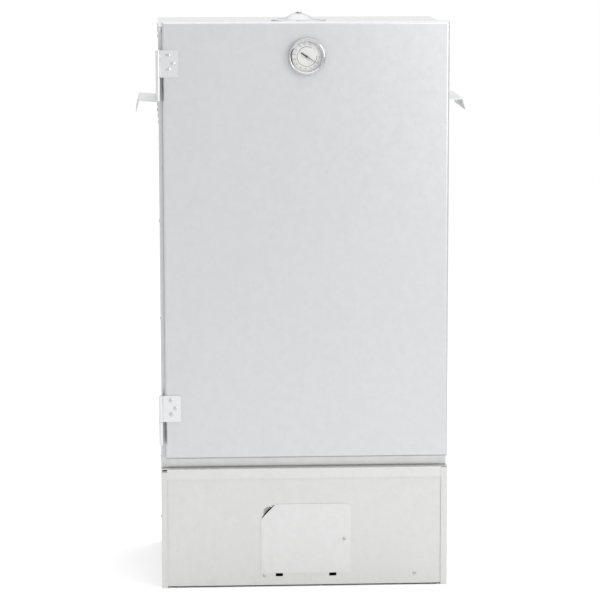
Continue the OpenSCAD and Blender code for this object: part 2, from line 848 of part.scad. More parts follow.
// An S-hook over a bar, leaning so that its weight hangs straight below the bar
module hook(x, y) {
    tip = 8;
    color(plated) translate([x, y, bar_z]) rotate([hook_lean, 0, 0]) rotate([0, 0, 90]) {
        rotate([90, 0, 0]) hook_turn();
        rod_z(hook_turn_r, 0, -hook_drop, hook_wire_r, hook_drop);
        rod_z(-hook_turn_r, 0, -tip, hook_wire_r, tip);
        translate([2 * hook_turn_r, 0, -hook_drop]) rotate([-90, 0, 0]) hook_turn();
        translate([3 * hook_turn_r, 0, -hook_drop]) cylinder(r1 = hook_wire_r, r2 = 0.4, h = 18);
    }
}

module hook_turn() { rotate_extrude(angle = 180) translate([hook_turn_r, 0]) circle(hook_wire_r); }

module hook_1() { hook(-95, bar_ys[0]); }

module hook_2() { hook(75, bar_ys[0]); }

module hook_3() { hook(-55, bar_ys[1]); }

module hook_4() { hook(115, bar_ys[1]); }

// ---- Door ----

// The door's outside when t is 0, and its inside when t is the sheet
module door_block(t) {
    r = fold_r - t;
    w = door_w - 2 * t;
    h = door_top - door_z - 2 * t;
    intersection() {
        translate([door_left + t, door_y + t, door_z]) linear_extrude(door_top - door_z) round_front_2d(w, r);
        translate([door_left, door_y + t, door_z + t]) rotate([90, 0, 90]) linear_extrude(door_w)
            rotate([0, 0, 90]) mirror([0, 1]) round_front_2d(h, r);
    }
}

// A strip across the door's depth with its two front corners rounded
module round_front_2d(w, r) {
    translate([0, r]) square([w, door_t - r + cut]);
    translate([r, 0]) square([w - 2 * r, door_t]);
    translate([r, r]) circle(r);
    translate([w - r, r]) circle(r);
}

module door_panel() {
    back = door_y + door_t;
    color(galvanised) difference() {
        union() {
            difference() {
                intersection() {
                    door_block(0);
                    block([door_left, door_y, door_z], [door_right, back, door_top]);
                }
                door_block(sheet);
            }
            block([door_right - 11, back - sheet, door_z + 12],
                [door_right - 0.5 * sheet, back, door_top - 12]);
        }
        rod_y(dial_x, door_y - cut, dial_z, neck_r + snug, 3 * sheet);
        for (j = hinge_joints) for (p = leaf_screws)
            rod_y(p[0], door_y - cut, j + p[1], screw_r, 3 * sheet);
        block([door_right - fold_r - 1, door_y + fold_r, door_z - cut],
            [door_right + cut, back + cut, door_z + fold_r]);
        rod_x(door_left - cut, door_y + fold_r + 1.5, door_top - 10, 1.8, 3 * sheet);
    }
}

// The half of a hinge that turns with the door
module door_leaf(joint) {
    top = joint + hinge_h * 0.54;
    low = joint + half_gap;
    color(zinc_edge) difference() {
        union() {
            rod_z(hinge_x, hinge_y, low, barrel_r, top - low);
            block([hinge_x, door_y - leaf_t, low], [hinge_x + leaf_reach, door_y, top]);
        }
        rod_z(hinge_x, hinge_y, low - cut, pin_r + snug, top - low + 2 * cut);
        for (p = leaf_screws) rod_y(p[0], door_y - leaf_t - cut, joint + p[1], screw_r, leaf_t + 2 * cut);
    }
}

// The half of a hinge that is fixed to the cabinet's side wall
module cabinet_leaf(joint) {
    low = joint - hinge_h * 0.46;
    color(zinc_edge) difference() {
        union() {
            rod_z(hinge_x, hinge_y, low, barrel_r, joint - low);
            block([-body_x - leaf_t, hinge_y, low], [-body_x, body_y + 17, joint]);
        }
        rod_z(hinge_x, hinge_y, low - cut, pin_r, joint - low + 2 * cut);
        for (p = leaf_screws) rod_x(-body_x - leaf_t - cut, leaf_screw_y(p), joint - p[1], screw_r,
            leaf_t + 2 * cut);
    }
}

module upper_hinge_door_leaf() { door_leaf(hinge_joints[1]); }

module lower_hinge_door_leaf() { door_leaf(hinge_joints[0]); }

module upper_hinge_cabinet_leaf() { cabinet_leaf(hinge_joints[1]); }

module lower_hinge_cabinet_leaf() { cabinet_leaf(hinge_joints[0]); }

// Pins pressed into the lower halves, on which the door turns and lifts off
module hinge_pins() {
    color(plated) for (j = hinge_joints) rod_z(hinge_x, hinge_y, j - hinge_h * 0.46, pin_r, hinge_h - 4);
}

// Screws of the door leaves
module door_leaf_screws() {
    color(plated) for (j = hinge_joints) for (p = leaf_screws) {
        rod_y(p[0], door_y - leaf_t, j + p[1], screw_r, leaf_t + 4);
        screw_head_y(p[0], door_y - leaf_t, j + p[1]);
    }
}

// A low domed head standing forward of y
module screw_head_y(x, y, z) {
    translate([x, y, z]) rotate([90, 0, 0]) {
        cylinder(r = screw_head_r, h = 0.5);
        translate([0, 0, 0.5]) cylinder(r1 = screw_head_r, r2 = screw_head_r - 1.4, h = screw_head_h - 0.5);
    }
}

// Screws of the cabinet leaves
module cabinet_leaf_screws() {
    x = -body_x - leaf_t;
    color(plated) for (j = hinge_joints) for (p = leaf_screws) {
        rod_x(x, leaf_screw_y(p), j - p[1], screw_r, leaf_t + 4);
        rod_x(x - screw_head_h, leaf_screw_y(p), j - p[1], screw_head_r - 0.4, screw_head_h);
    }
}

// ---- Thermometer ----

module thermometer_case() {
    depth = door_y - case_front;
    color(plated) difference() {
        rod_y(dial_x, case_front, dial_z, case_r, depth);
        rod_y(dial_x, case_front - cut, dial_z, case_r - 1, depth - 1 + cut);
        rod_y(dial_x, case_front, dial_z, neck_r, 2 * depth);
    }
}

// Bezel ring: turned section with a rounded front
module thermometer_bezel() {
    inner_r = 21.6;
    back = bezel_depth - 1;
    ring_r = 2.2;
    color("whitesmoke") translate([dial_x, door_y - bezel_depth, dial_z]) rotate([-90, 0, 0])
        rotate_extrude() difference() {
            union() {
                translate([bezel_r - ring_r, ring_r]) circle(ring_r);
                translate([inner_r, 0.2]) square([bezel_r - ring_r - inner_r, 2]);
                translate([case_r, ring_r]) square([bezel_r - case_r, back - ring_r]);
            }
            translate([inner_r, case_back_gap]) square([case_r - inner_r, 4 * ring_r]);
        }
}

module thermometer_dial() {
    color("white") difference() {
        rod_y(dial_x, door_y - 2.6, dial_z, case_r - 1.2, 0.6);
        rod_y(dial_x, door_y - 3, dial_z, 1.1, 2);
    }
}

// Pointer with a short thick tail, on a thin spindle
module thermometer_needle() {
    color("black") {
        translate([dial_x, needle_y, dial_z]) rotate([90, 0, 0]) rotate([0, 0, -33]) linear_extrude(0.4) {
            polygon([[-10, -0.9], [-1, -0.9], [1, -0.7], [18, -0.25], [18, 0.25], [1, 0.7],
                [-1, 0.9], [-10, 0.9]]);
            circle(1.6);
        }
        rod_y(dial_x, needle_y - 0.8, dial_z, 1, 4.2);
    }
}

module thermometer_lens() {
    color([0.9, 0.95, 1, 0.3]) rod_y(dial_x, case_front + 0.2, dial_z, case_r - 1.3, 1.2);
}

// Threaded neck and sensing probe, made as one piece
module thermometer_probe() {
    color(plated) {
        difference() {
            union() {
                rod_y(dial_x, door_y - 1, dial_z, neck_r, 14);
                rod_y(dial_x, door_y + 13, dial_z, probe_r, probe_l - 13);
                translate([dial_x, door_y + probe_l, dial_z]) sphere(r = probe_r);
            }
            rod_y(dial_x, door_y - 2, dial_z, 1 + snug, 8);
        }
    }
}

module thermometer_nut() {
    color(plated) difference() {
        translate([dial_x, door_y + sheet, dial_z]) rotate([-90, 0, 0]) cylinder(r = 9, h = 5, $fn = 6);
        rod_y(dial_x, door_y, dial_z, neck_r, 8);
    }
}

base_side_left();
base_side_right();
base_back_panel();
base_front_panel();
base_top_frame();
base_floor();
base_rivets();
hatch_flap();
hatch_clip();
hatch_rivet();
tray_runners();
chip_tray();
heating_element();
element_support();
terminal_box();
safety_thermostat();
element_leads();
power_inlet();
inlet_pins();
inlet_screws();
frame_bolts();
cabinet_side_left();
cabinet_side_right();
cabinet_back();
cabinet_roof();
cabinet_floor();
cabinet_rivets();
handle_left();
handle_right();
handle_rivets();
vent_disc();
vent_pivot();
rails_left();
rails_right();
bar_brackets();
door_magnets();
drip_tray();
grate_lower();
grate_upper();
hook_bar_front();
hook_bar_rear();
hook_1();
hook_2();
hook_3();
hook_4();
door_panel();
upper_hinge_door_leaf();
lower_hinge_door_leaf();
upper_hinge_cabinet_leaf();
lower_hinge_cabinet_leaf();
hinge_pins();
door_leaf_screws();
cabinet_leaf_screws();
thermometer_case();
thermometer_bezel();
thermometer_dial();
thermometer_needle();
thermometer_lens();
thermometer_probe();
thermometer_nut();
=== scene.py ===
"""Looks of a galvanised cabinet smoker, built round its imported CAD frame."""

import json
import math

import bmesh
import bpy
from mathutils import Matrix, Vector

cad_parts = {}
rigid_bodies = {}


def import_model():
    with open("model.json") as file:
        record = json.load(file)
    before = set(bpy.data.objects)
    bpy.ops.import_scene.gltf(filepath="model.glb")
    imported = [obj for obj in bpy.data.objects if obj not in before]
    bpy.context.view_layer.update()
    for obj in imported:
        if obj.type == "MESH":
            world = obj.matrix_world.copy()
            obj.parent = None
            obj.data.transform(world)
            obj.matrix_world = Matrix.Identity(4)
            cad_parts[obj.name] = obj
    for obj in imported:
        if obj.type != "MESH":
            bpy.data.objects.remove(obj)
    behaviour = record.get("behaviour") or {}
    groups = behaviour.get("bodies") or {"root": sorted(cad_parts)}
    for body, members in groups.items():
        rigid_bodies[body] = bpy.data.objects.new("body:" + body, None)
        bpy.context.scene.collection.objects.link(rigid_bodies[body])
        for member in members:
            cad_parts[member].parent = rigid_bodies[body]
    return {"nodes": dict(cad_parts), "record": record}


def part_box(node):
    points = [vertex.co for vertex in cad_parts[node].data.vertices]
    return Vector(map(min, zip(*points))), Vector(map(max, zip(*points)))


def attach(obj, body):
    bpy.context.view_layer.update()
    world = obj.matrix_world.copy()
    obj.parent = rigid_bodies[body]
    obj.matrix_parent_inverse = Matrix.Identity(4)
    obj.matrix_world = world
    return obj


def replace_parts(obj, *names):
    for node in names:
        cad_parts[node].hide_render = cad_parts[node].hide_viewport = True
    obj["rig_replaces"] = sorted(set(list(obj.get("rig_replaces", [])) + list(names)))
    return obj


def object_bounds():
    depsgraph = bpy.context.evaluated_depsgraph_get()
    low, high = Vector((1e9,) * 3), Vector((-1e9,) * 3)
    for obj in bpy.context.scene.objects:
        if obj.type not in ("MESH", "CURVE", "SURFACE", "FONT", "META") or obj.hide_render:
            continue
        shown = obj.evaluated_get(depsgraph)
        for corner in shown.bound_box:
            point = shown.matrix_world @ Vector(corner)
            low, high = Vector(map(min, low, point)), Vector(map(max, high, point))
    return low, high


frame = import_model()
CAD_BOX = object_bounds()
NODES = frame["nodes"]
SLOT_OF = {row["node"]: row["material_slot"] for row in frame["record"]["subparts"]}
BODY_OF = {node: body for body, nodes in frame["record"]["behaviour"]["bodies"].items() for node in nodes}
MM = 0.001
# Vertices of a CAD mesh closer than this are one
WELD = 0.002 * MM


# ---- Places that several pieces share ----

def span(node):
    """Lowest and highest corner, and the middle, of a CAD node."""
    low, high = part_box(node)
    return low, high, (low + high) / 2


GROUND_Z = CAD_BOX[0].z

# Nodes whose tone differs from the rest of their slot: the lighter copies are painted light on the roof, the
# cabinet floor's sill, the hatch flap, the handle shelves and the base, and the darker rivet metal is painted shade
# on the rivet heads
PAINTED_LIGHT_AND_SHADE = {
    "base_side_left": "galvanised_base_painted_lit", "base_side_right": "galvanised_base_painted_lit",
    "base_front_panel": "galvanised_base_painted_lit", "base_top_frame": "galvanised_frame_painted_lit",
    "hatch_flap": "galvanised_painted_lit", "cabinet_floor": "galvanised_painted_lit", "cabinet_roof": "galvanised_painted_lit",
    "handle_left": "zinc_painted_lit", "handle_right": "zinc_painted_lit",
    "base_rivets": "rivet_painted_shade", "hatch_rivet": "rivet_painted_shade",
}


# ---- Stage: floor, light and camera ----

def add_floor():
    """Plain pale floor at the object's foot."""
    bpy.ops.mesh.primitive_plane_add(size=60, location=(0, 0, GROUND_Z))
    floor = bpy.context.object
    floor.name = "floor"
    material = new_material("floor_white")
    shader = material.node_tree.nodes["Principled BSDF"]
    shader.inputs["Base Color"].default_value = (0.97, 0.97, 0.97, 1)
    shader.inputs["Roughness"].default_value = 1.0
    shader.inputs["Specular IOR Level"].default_value = 0.0
    floor.data.materials.append(material)


def add_dark_card(name, place, turn, size):
    """A black studio card that only gloss sees, so that bright metal has dark sides."""
    bpy.ops.mesh.primitive_plane_add(size=1, location=place, rotation=(math.radians(90), 0, math.radians(turn)))
    card = bpy.context.object
    card.name = name
    card.scale = (*size, 1)
    card.visible_camera = False
    card.visible_diffuse = False
    card.visible_shadow = False
    card.data.materials.append(MATERIALS["card_black"])


def add_area_light(name, place, aim, size, power):
    light = bpy.data.lights.new(name, "AREA")
    light.shape = "RECTANGLE"
    light.size, light.size_y = size
    light.energy = power
    lamp = bpy.data.objects.new(name, light)
    lamp.location = place
    lamp.visible_camera = False
    lamp.rotation_euler = (Vector(aim) - Vector(place)).to_track_quat("-Z", "Y").to_euler()
    bpy.context.scene.collection.objects.link(lamp)


def add_lights():
    """White surroundings, a soft key at the right with a little help from low down, and a wide light above."""
    world = bpy.data.worlds.new("studio")
    bpy.context.scene.world = world
    world.use_nodes = True
    background = world.node_tree.nodes["Background"]
    background.inputs["Color"].default_value = (1, 1, 1, 1)
    background.inputs["Strength"].default_value = 1.04
    add_area_light("key_right", (0.95, -1.15, 1.05), (0.15, -0.14, 0.7), (0.5, 0.8), 7.6)
    add_area_light("low_right", (0.9, -1.1, 0.25), (0.2, -0.14, 0.15), (0.5, 0.3), 0.4)
    add_area_light("over", (0, 0, 2.2), (0, 0, 0.8), (3, 3), 21)


def add_camera():
    """Seen from a little left of the middle and a little above the roof, through a long lens."""
    camera = bpy.data.cameras.new("camera")
    camera.lens = 161.7
    camera.clip_end = 100
    eye = bpy.data.objects.new("camera", camera)
    yaw, pitch, roll = math.radians(2.97), math.radians(8.71), math.radians(0.09)
    eye.location = (-0.203, -3.927, 1.0)
    look = Vector((math.sin(yaw) * math.cos(pitch), math.cos(yaw) * math.cos(pitch), -math.sin(pitch)))
    turn = look.to_track_quat("-Z", "Y").to_matrix()
    eye.rotation_euler = (Matrix.Rotation(roll, 3, look) @ turn).to_euler()
    bpy.context.scene.collection.objects.link(eye)
    bpy.context.scene.camera = eye
    bpy.context.scene.view_settings.view_transform = "Standard"


# ---- Materials ----

def new_material(name):
    """A material whose nodes start with one Principled shader."""
    material = bpy.data.materials.new(name)
    material.use_nodes = True
    return material


class Graph:
    """Short calls for building one material's nodes."""

    def __init__(self, name):
        self.material = new_material(name)
        self.tree = self.material.node_tree
        self.shader = self.tree.nodes["Principled BSDF"]

    def add(self, kind, **settings):
        node = self.tree.nodes.new(kind)
        for key, value in settings.items():
            if key in node.inputs:
                node.inputs[key].default_value = value
            else:
                setattr(node, key, value)
        return node

    def link(self, source, target):
        self.tree.links.new(source, target)

    def set(self, **values):
        for key, value in values.items():
            self.shader.inputs[key.replace("_", " ")].default_value = value

    def place(self, scale=(1, 1, 1)):
        """Object coordinates, in metres, stretched by scale."""
        coordinates = self.add("ShaderNodeTexCoord")
        mapping = self.add("ShaderNodeMapping")
        mapping.inputs["Scale"].default_value = scale
        self.link(coordinates.outputs["Object"], mapping.inputs["Vector"])
        return mapping.outputs["Vector"]

    def noise(self, where, scale, detail=3.0, roughness=0.5):
        node = self.add("ShaderNodeTexNoise")
        node.inputs["Scale"].default_value = scale
        node.inputs["Detail"].default_value = detail
        node.inputs["Roughness"].default_value = roughness
        self.link(where, node.inputs["Vector"])
        return node.outputs["Fac"]

    def remap(self, value, low, high):
        """Takes 0..1 to low..high."""
        node = self.add("ShaderNodeMapRange")
        node.inputs["To Min"].default_value = low
        node.inputs["To Max"].default_value = high
        self.link(value, node.inputs["Value"])
        return node.outputs["Result"]

    def blend(self, factor, first, second):
        """A mix of two colours."""
        node = self.add("ShaderNodeMix", data_type="RGBA")
        node.inputs["A"].default_value = (*first, 1)
        node.inputs["B"].default_value = (*second, 1)
        self.link(factor, node.inputs["Factor"])
        return node.outputs["Result"]

    def bump(self, height, strength, distance):
        node = self.add("ShaderNodeBump")
        node.inputs["Strength"].default_value = strength
        node.inputs["Distance"].default_value = distance
        self.link(height, node.inputs["Height"])
        self.link(node.outputs["Normal"], self.shader.inputs["Normal"])


def galvanised(name, tone, metallic=0.82):
    """Bright zinc sheet: a faint spangle of crystals, fine rolling streaks and soft bloom."""
    g = Graph(name)
    g.set(Metallic=metallic, IOR=1.5)
    where = g.place()
    crystals = g.add("ShaderNodeTexVoronoi", feature="F1")
    crystals.inputs["Scale"].default_value = 130
    g.link(where, crystals.inputs["Vector"])
    facet = g.add("ShaderNodeSeparateColor")
    g.link(crystals.outputs["Color"], facet.inputs["Color"])
    bloom = g.noise(where, 7, 4)
    dark = [c * 0.965 for c in tone]
    light = [min(1, c * 1.03) for c in tone]
    spangle = g.remap(facet.outputs["Red"], 0.3, 0.7)
    cloud = g.add("ShaderNodeMath", operation="ADD")
    g.link(spangle, cloud.inputs[0])
    g.link(g.remap(bloom, -0.2, 0.2), cloud.inputs[1])
    g.link(g.blend(cloud.outputs[0], dark, light), g.shader.inputs["Base Color"])
    g.link(g.remap(facet.outputs["Green"], 0.40, 0.46), g.shader.inputs["Roughness"])
    grain = g.noise(g.place((1, 1, 0.06)), 900, 2)
    g.bump(grain, 0.05, 0.0002)
    return g.material


def metal(name, tone, roughness, grain_scale=700, wear=0.04, metallic=1.0):
    """Plain plated or bare metal with fine brushed grain and slight staining."""
    g = Graph(name)
    g.set(Metallic=metallic)
    where = g.place()
    stain = g.noise(where, 60, 5, 0.6)
    dark = [c * (1 - wear) for c in tone]
    light = [min(1, c * (1 + wear)) for c in tone]
    g.link(g.blend(stain, dark, light), g.shader.inputs["Base Color"])
    g.link(g.remap(stain, roughness * 0.85, roughness * 1.2), g.shader.inputs["Roughness"])
    g.bump(g.noise(where, grain_scale, 2), 0.06, 0.0002)
    return g.material


def burnt_metal(name):
    """Heat-darkened sheet: straw, blue and grey oxide clouds with soot."""
    g = Graph(name)
    g.set(Metallic=0.85)
    where = g.place()
    cloud = g.noise(where, 22, 6, 0.6)
    ramp = g.add("ShaderNodeValToRGB")
    ramp.color_ramp.elements[0].position = 0.3
    ramp.color_ramp.elements[0].color = (0.05, 0.05, 0.055, 1)
    ramp.color_ramp.elements[1].position = 0.72
    ramp.color_ramp.elements[1].color = (0.30, 0.29, 0.28, 1)
    middle = ramp.color_ramp.elements.new(0.52)
    middle.color = (0.17, 0.145, 0.12, 1)
    g.link(cloud, ramp.inputs["Fac"])
    g.link(ramp.outputs["Color"], g.shader.inputs["Base Color"])
    g.link(g.remap(cloud, 0.6, 0.42), g.shader.inputs["Roughness"])
    g.bump(g.noise(where, 400, 3), 0.12, 0.0004)
    return g.material


def moulded(name, tone, roughness, grain=1200):
    """Moulded plastic, rubber or glazed ceramic with a fine surface grain."""
    g = Graph(name)
    where = g.place()
    cloud = g.noise(where, 90, 3)
    g.link(g.blend(cloud, [c * 0.9 for c in tone], [min(1, c * 1.08) for c in tone]),
           g.shader.inputs["Base Color"])
    g.link(g.remap(cloud, roughness * 0.9, roughness * 1.1), g.shader.inputs["Roughness"])
    g.bump(g.noise(where, grain, 2), 0.08, 0.0002)
    return g.material


def window_glass(name):
    """Thin clear glass that lets the dial show without darkening it."""
    g = Graph(name)
    g.set(Base_Color=(1, 1, 1, 1), Roughness=0.03, IOR=1.45, Transmission_Weight=1.0, Alpha=0.35)
    return g.material


def printed_face(name, tone):
    """Satin enamelled dial face with the faintest print grain."""
    g = Graph(name)
    where = g.place()
    cloud = g.noise(where, 300, 3)
    g.link(g.blend(cloud, [c * 0.97 for c in tone], tone), g.shader.inputs["Base Color"])
    g.set(Roughness=0.45)
    return g.material


def make_materials():
    return {
        "galvanised_sheet": galvanised("galvanised_sheet", (0.548, 0.556, 0.56)),
        # Lighter copies of the sheet, painted light on the roof, cabinet sill, hatch flap and base
        "galvanised_painted_lit": galvanised("galvanised_painted_lit", (0.60, 0.604, 0.598)),
        "galvanised_base_painted_lit": galvanised("galvanised_base_painted_lit", (0.572, 0.575, 0.566)),
        "galvanised_frame_painted_lit": galvanised("galvanised_frame_painted_lit", (0.56, 0.562, 0.554), 0.35),
        "zinc_fittings": metal("zinc_fittings", (0.67, 0.675, 0.68), 0.3),
        # Lighter copy of the fittings' zinc, painted light on the handle shelves
        "zinc_painted_lit": metal("zinc_painted_lit", (0.70, 0.705, 0.70), 0.4),
        "plated_steel": metal("plated_steel", (0.57, 0.57, 0.58), 0.24),
        # Darker metal for the rivets, painted shade on their heads
        "rivet_painted_shade": metal("rivet_painted_shade", (0.44, 0.44, 0.445), 0.26),
        "dark_steel": burnt_metal("dark_steel"),
        "element_sheath": metal("element_sheath", (0.17, 0.18, 0.17), 0.5, 500, 0.2, 0.8),
        "moulded_plastic": moulded("moulded_plastic", (0.02, 0.02, 0.022), 0.45),
        "contact_brass": metal("contact_brass", (0.80, 0.62, 0.30), 0.25),
        "lead_insulation": moulded("lead_insulation", (0.42, 0.05, 0.035), 0.5),
        "thermostat_ceramic": moulded("thermostat_ceramic", (0.80, 0.77, 0.68), 0.25, 400),
        "magnet_ferrite": moulded("magnet_ferrite", (0.05, 0.05, 0.052), 0.55, 500),
        "bezel_chrome": metal("bezel_chrome", (0.47, 0.47, 0.48), 0.1, 200, 0.01),
        "dial_face": printed_face("dial_face", (0.73, 0.73, 0.72)),
        "dial_ink": moulded("dial_ink", (0.12, 0.12, 0.125), 0.5),
        "needle_black": moulded("needle_black", (0.012, 0.012, 0.012), 0.4),
        "lens_glass": window_glass("lens_glass"),
        "card_black": moulded("card_black", (0.02, 0.02, 0.02), 1.0),
    }


# ---- Making pieces ----

def add_piece(mesh, name, node):
    """Adds a mesh that rides with a CAD node, takes its finish and stands for it."""
    piece = bpy.data.objects.new(name, mesh)
    bpy.context.scene.collection.objects.link(piece)
    mesh.materials.clear()
    mesh.materials.append(finish_of(node))
    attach(piece, BODY_OF[node])
    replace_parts(piece, node)
    return piece


def finish_of(node):
    """The node's lighter copy (painted light) or darker rivet metal (painted shade) where it has one, else the
    material of its slot.
    """
    return MATERIALS[PAINTED_LIGHT_AND_SHADE.get(node, SLOT_OF[node])]


# Radius of a cut edge
SHEET_EDGE = 0.25 * MM


def evaluated(piece):
    """Puts the piece's modifiers into its mesh."""
    graph = bpy.context.evaluated_depsgraph_get()
    finished = bpy.data.meshes.new_from_object(piece.evaluated_get(graph), depsgraph=graph)
    piece.modifiers.clear()
    old = piece.data
    piece.data = finished
    bpy.data.meshes.remove(old)


def round_edges(piece, radius):
    """Bevels every sharp edge and smooths the rest."""
    bevel = piece.modifiers.new("round_edges", "BEVEL")
    bevel.width = radius
    bevel.segments = 2
    bevel.limit_method = "ANGLE"
    bevel.angle_limit = math.radians(35)
    bevel.harden_normals = True
    for face in piece.data.polygons:
        face.use_smooth = True
    evaluated(piece)


def refined(node):
    """The CAD node's own shape with every sharp edge rounded by a small radius."""
    shape = bmesh.new()
    shape.from_mesh(NODES[node].data)
    bmesh.ops.remove_doubles(shape, verts=shape.verts, dist=WELD)
    bmesh.ops.dissolve_limit(shape, angle_limit=math.radians(0.5), verts=shape.verts, edges=shape.edges)
    for edge in shape.edges:
        edge.smooth = True
    piece = build(node, shape)
    for layer in ("custom_normal", "sharp_edge", "sharp_face"):
        if layer in piece.data.attributes:
            piece.data.attributes.remove(piece.data.attributes[layer])
    round_edges(piece, SHEET_EDGE)


def build(node, shape, sharp=40):
    """Makes the piece that stands for a CAD node out of a bmesh."""
    bmesh.ops.recalc_face_normals(shape, faces=shape.faces)
    mesh = bpy.data.meshes.new(node + "_mesh")
    shape.to_mesh(mesh)
    shape.free()
    for face in mesh.polygons:
        face.use_smooth = True
    mesh.set_sharp_from_angle(angle=math.radians(sharp))
    return add_piece(mesh, node + "_finished", node)


def combined(piece, shape, operation):
    """Cuts a bmesh out of the piece, or joins it on."""
    bmesh.ops.recalc_face_normals(shape, faces=shape.faces)
    mesh = bpy.data.meshes.new("tool")
    shape.to_mesh(mesh)
    shape.free()
    tool = bpy.data.objects.new("tool", mesh)
    bpy.context.scene.collection.objects.link(tool)
    step = piece.modifiers.new(operation.lower(), "BOOLEAN")
    step.operation = operation
    step.solver = "EXACT"
    step.use_self = True
    step.object = tool
    evaluated(piece)
    bpy.data.objects.remove(tool)
    bpy.data.meshes.remove(mesh)


def islands(node):
    """Lowest and highest corner of each separate solid of a CAD node."""
    shape = bmesh.new()
    shape.from_mesh(NODES[node].data)
    bmesh.ops.remove_doubles(shape, verts=shape.verts, dist=WELD)
    seen = set()
    found = []
    for first in shape.verts:
        if first in seen:
            continue
        seen.add(first)
        group = [first]
        for vert in group:
            for edge in vert.link_edges:
                other = edge.other_vert(vert)
                if other not in seen:
                    seen.add(other)
                    group.append(other)
        low = Vector([min(v.co[i] for v in group) for i in range(3)])
        high = Vector([max(v.co[i] for v in group) for i in range(3)])
        found.append((low, high))
    shape.free()
    return found


# ---- Shapes ----

# Local +Z turned to point out of the front, out of the back, to the left or to the right
FRONT = Matrix.Rotation(math.radians(90), 4, "X")
BACK = Matrix.Rotation(math.radians(-90), 4, "X")
LEFT = Matrix.Rotation(math.radians(-90), 4, "Y")
RIGHT = Matrix.Rotation(math.radians(90), 4, "Y")


def at(x, y, z):
    """Moves a shape's own origin to a place in metres."""
    return Matrix.Translation((x, y, z))


def rounded(corners, steps=4):
    """Points of an open path with its corners rounded: each corner is a place and a radius."""
    path = []
    for i, (place, radius) in enumerate(corners):
        corner = Vector(place)
        if radius == 0:
            path.append(corner)
            continue
        back = (Vector(corners[i - 1][0]) - corner).normalized()
        on = (Vector(corners[(i + 1) % len(corners)][0]) - corner).normalized()
        half = back.angle(on) / 2
        centre = corner + (back + on).normalized() * radius / math.sin(half)
        first = corner + back * radius / math.tan(half) - centre
        inward = -back * radius
        sweep = math.pi - 2 * half
        for k in range(steps + 1):
            turn = sweep * k / steps
            path.append(centre + first * math.cos(turn) + inward * math.sin(turn))
    return path


def skin(shape, rings, closed=False):
    """Faces between rings of vertices; a ring of one vertex is a pole."""
    following = rings[1:] + rings[:1] if closed else rings[1:]
    for one, two in zip(rings, following):
        count = max(len(one), len(two))
        for i in range(count):
            j = (i + 1) % count
            corners = [one[i % len(one)], one[j % len(one)], two[j % len(two)], two[i % len(two)]]
            shape.faces.new(dict.fromkeys(corners))


def turned(shape, profile, where, steps=48, closed=False):
    """Adds a turned solid: profile is (radius, height) in mm along where's own Z axis."""
    rings = []
    for radius, height in profile:
        angles = [0] if radius == 0 else [2 * math.pi * i / steps for i in range(steps)]
        rings.append([shape.verts.new(where @ (Vector((radius * math.cos(a), radius * math.sin(a), height)) * MM))
                      for a in angles])
    skin(shape, rings, closed)


def tube(shape, path, radius, closed=False, sides=16, shares=None):
    """Adds a round wire along a path; its open ends are domed, and shares thin it along the way."""
    points = [Vector(p) for p in path]
    shares = shares or [1] * len(points)
    if not closed:
        dome = [(math.sin(t), math.cos(t)) for t in (0.4, 0.8, 1.2)] + [(1, 0)]
        head = (points[0] - points[1]).normalized() * radius * shares[0]
        tail = (points[-1] - points[-2]).normalized() * radius * shares[-1]
        points = [points[0] + head * out for out, _ in reversed(dome)] + points \
            + [points[-1] + tail * out for out, _ in dome]
        shares = [shares[0] * across for _, across in reversed(dome)] + shares \
            + [shares[-1] * across for _, across in dome]
    side = Vector((0, 0, 1)) if abs((points[1] - points[0]).normalized().z) < 0.9 else Vector((1, 0, 0))
    rings = []
    for i, point in enumerate(points):
        before = points[i - 1] if i or closed else point
        after = points[(i + 1) % len(points)] if i + 1 < len(points) or closed else point
        along = (after - before).normalized()
        side = (side - along * side.dot(along)).normalized()
        other = along.cross(side)
        angles = [0] if shares[i] == 0 else [2 * math.pi * k / sides for k in range(sides)]
        rings.append([shape.verts.new(point + (side * math.cos(a) + other * math.sin(a)) * radius * shares[i])
                      for a in angles])
    skin(shape, rings, closed)


def prism(shape, outline, where, low, high):
    """Adds an upright prism: outline is (x, y) in mm in where's own plane."""
    rings = [[shape.verts.new(where @ (Vector((x, y, z)) * MM)) for x, y in outline] for z in (low, high)]
    skin(shape, rings)
    for ring in rings:
        shape.faces.new(ring)


# ---- Fasteners ----

# Radius of every rivet's and screw's shank, in mm
SHANK = 1.6


def thread(radius, low, high, pitch=0.7):
    """Profile of a thread from low to high."""
    count = max(1, round((high - low) / pitch))
    step = (high - low) / count
    points = []
    for i in range(count):
        points += [(radius - 0.28, low + i * step), (radius, low + (i + 0.5) * step)]
    return points + [(radius - 0.28, high)]


def cross_recess(shape, where, reach, top, depth):
    """Adds a cutter for a cross recess, narrower at the bottom than at the top."""
    for turn in (0, 90):
        arm = where @ Matrix.Rotation(math.radians(turn + 12), 4, "Z")
        wide, narrow = 0.32, 0.2
        rings = []
        for length, width, height in ((reach * 0.55, narrow, top - depth), (reach * 1.15, wide, top + 0.6)):
            outline = [(-length, -width), (length, -width), (length, width), (-length, width)]
            rings.append([shape.verts.new(arm @ (Vector((x, y, height)) * MM)) for x, y in outline])
        skin(shape, rings)
        for ring in rings:
            shape.faces.new(ring)


